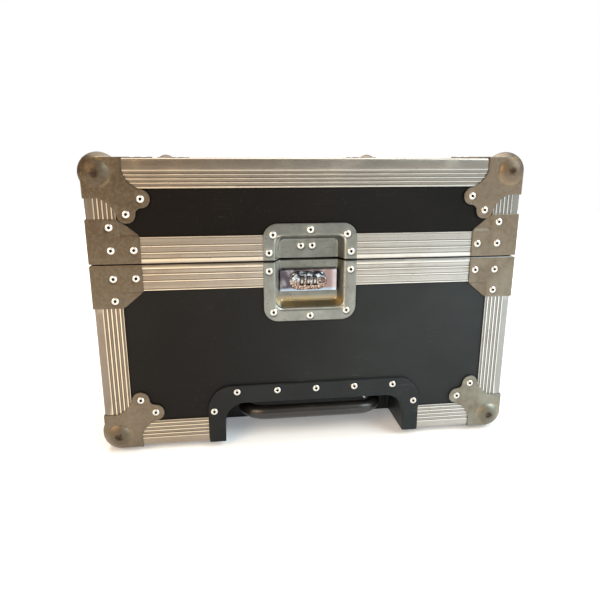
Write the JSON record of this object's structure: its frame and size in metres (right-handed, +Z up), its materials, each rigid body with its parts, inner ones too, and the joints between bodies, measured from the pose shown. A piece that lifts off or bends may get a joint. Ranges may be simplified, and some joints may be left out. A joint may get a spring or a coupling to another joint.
{
  "type": "flight case",
  "caption": "Black laminated flight case with aluminium edges, steel ball corners, a hinged lid with a recessed combination lock, and a pull-out handle and wheels for towing",
  "frame": {"origin": "on the floor plane under the feet, at the middle of the overall footprint with wheels and ball corners included", "axes": "+Z up, the front face with the lock and the pull-out handle faces -Y, +X to the right of a person facing it"},
  "size_m": [0.4786, 0.6863, 0.3319],
  "materials": {
    "laminated_board": "fine grain black laminate, light scuffs",
    "raw_board": "plain birch plywood",
    "aluminium_profile": "satin, drawn, lightly worn",
    "zinc_steel": "dull zinc plate, worn at the corners",
    "chrome_plate": "bright",
    "rivet_aluminium": "bright",
    "black_moulding": "satin moulded",
    "grip_moulding": "smooth satin",
    "steel_tube": "satin",
    "steel_dark": "plain steel",
    "dial_brass": "nickelled",
    "foam": "open-cell foam",
    "tyre_rubber": "matte",
    "foot_rubber": "matte",
    "hub_plastic": "satin"
  },
  "bodies": {
    "base": {"base_floor_panel": "laminated_board", "base_front_panel": "laminated_board", "base_rear_panel": "laminated_board", "base_left_panel": "laminated_board", "base_right_panel": "laminated_board", "inner_floor": "raw_board", "floor_battens": "raw_board", "base_edge_angles": "aluminium_profile", "base_rim_profiles": "aluminium_profile", "base_ball_corners": "zinc_steel", "base_corner_braces": "zinc_steel", "latch_dish_lower": "zinc_steel", "side_handle_dish_right": "zinc_steel", "side_handle_dish_left": "zinc_steel", "hinge_base_leaves": "zinc_steel", "lock_face_plate": "chrome_plate", "lock_bezel": "chrome_plate", "base_rivets": "rivet_aluminium", "handle_recess": "black_moulding", "wheel_well_left": "black_moulding", "wheel_well_right": "black_moulding", "handle_tube_clamps": "black_moulding", "handle_outer_tubes": "steel_tube", "lock_dial_shaft": "steel_dark", "wheel_axles": "steel_dark", "side_handle_springs": "steel_dark", "hinge_pins": "steel_dark", "base_foam": "foam", "rubber_feet": "foot_rubber"},
    "lid": {"lid_top_panel": "laminated_board", "lid_front_panel": "laminated_board", "lid_rear_panel": "laminated_board", "lid_left_panel": "laminated_board", "lid_right_panel": "laminated_board", "lid_edge_angles": "aluminium_profile", "lid_rim_profiles": "aluminium_profile", "lid_ball_corners": "zinc_steel", "lid_corner_braces": "zinc_steel", "latch_dish_upper": "zinc_steel", "lock_keeper": "steel_dark", "lid_foam": "foam", "hinge_lid_leaves": "zinc_steel", "lid_rivets": "rivet_aluminium"},
    "pull_handle": {"handle_inner_tubes": "steel_tube", "pull_handle_grip": "grip_moulding"},
    "handle_middle_stage": {"handle_middle_tubes": "steel_tube"},
    "release_bar": {"handle_release_bar": "grip_moulding"},
    "dial_left": {"number_dial_left": "dial_brass"},
    "dial_middle": {"number_dial_middle": "dial_brass"},
    "dial_right": {"number_dial_right": "dial_brass"},
    "lock_slider": {"lock_slide_button": "chrome_plate", "lock_bolt": "steel_dark"},
    "wheel_left": {"wheel_hub_left": "hub_plastic", "wheel_tyre_left": "tyre_rubber"},
    "wheel_right": {"wheel_hub_right": "hub_plastic", "wheel_tyre_right": "tyre_rubber"},
    "side_handle_left": {"side_handle_bail_left": "steel_tube", "side_handle_grip_left": "grip_moulding"},
    "side_handle_right": {"side_handle_bail_right": "steel_tube", "side_handle_grip_right": "grip_moulding"}
  },
  "joints": [
    {"name": "lid_open", "type": "hinge", "parent": "base", "child": "lid", "pos_m": [0, 0.3288, 0.2175], "axis": [-1, 0, 0], "range_deg": [0, 100]},
    {"name": "handle_pull", "type": "slide", "parent": "base", "child": "pull_handle", "axis": [0, -1, 0], "range_m": [0, 0.42]},
    {"name": "handle_middle_slide", "type": "slide", "parent": "base", "child": "handle_middle_stage", "axis": [0, -1, 0], "range_m": [0, 0.21]},
    {"name": "release_press", "type": "slide", "parent": "pull_handle", "child": "release_bar", "axis": [0, -1, 0], "range_m": [0, 0.0025], "stiffness_N_per_m": 600},
    {"name": "lock_slide", "type": "slide", "parent": "base", "child": "lock_slider", "axis": [1, 0, 0], "range_m": [-0.0036, 0]},
    {"name": "dial_left_turn", "type": "hinge", "parent": "base", "child": "dial_left", "pos_m": [-0.0105, -0.3263, 0.1938], "axis": [1, 0, 0], "continuous": true},
    {"name": "dial_middle_turn", "type": "hinge", "parent": "base", "child": "dial_middle", "pos_m": [-0.0032, -0.3263, 0.1938], "axis": [1, 0, 0], "continuous": true},
    {"name": "dial_right_turn", "type": "hinge", "parent": "base", "child": "dial_right", "pos_m": [0.0041, -0.3263, 0.1938], "axis": [1, 0, 0], "continuous": true},
    {"name": "wheel_left_spin", "type": "hinge", "parent": "base", "child": "wheel_left", "pos_m": [-0.134, 0.3132, 0.0315], "axis": [1, 0, 0], "continuous": true},
    {"name": "wheel_right_spin", "type": "hinge", "parent": "base", "child": "wheel_right", "pos_m": [0.134, 0.3132, 0.0315], "axis": [1, 0, 0], "continuous": true},
    {"name": "side_handle_left_lift", "type": "hinge", "parent": "base", "child": "side_handle_left", "pos_m": [-0.2194, -0.0068, 0.1595], "axis": [0, 1, 0], "range_deg": [0, 90], "stiffness_Nm_per_rad": 0.08},
    {"name": "side_handle_right_lift", "type": "hinge", "parent": "base", "child": "side_handle_right", "pos_m": [0.2194, -0.0068, 0.1595], "axis": [0, -1, 0], "range_deg": [0, 90], "stiffness_Nm_per_rad": 0.08}
  ],
  "couplings": [
    {"joint": "handle_middle_slide", "follows": "handle_pull", "ratio": 0.5}
  ]
}
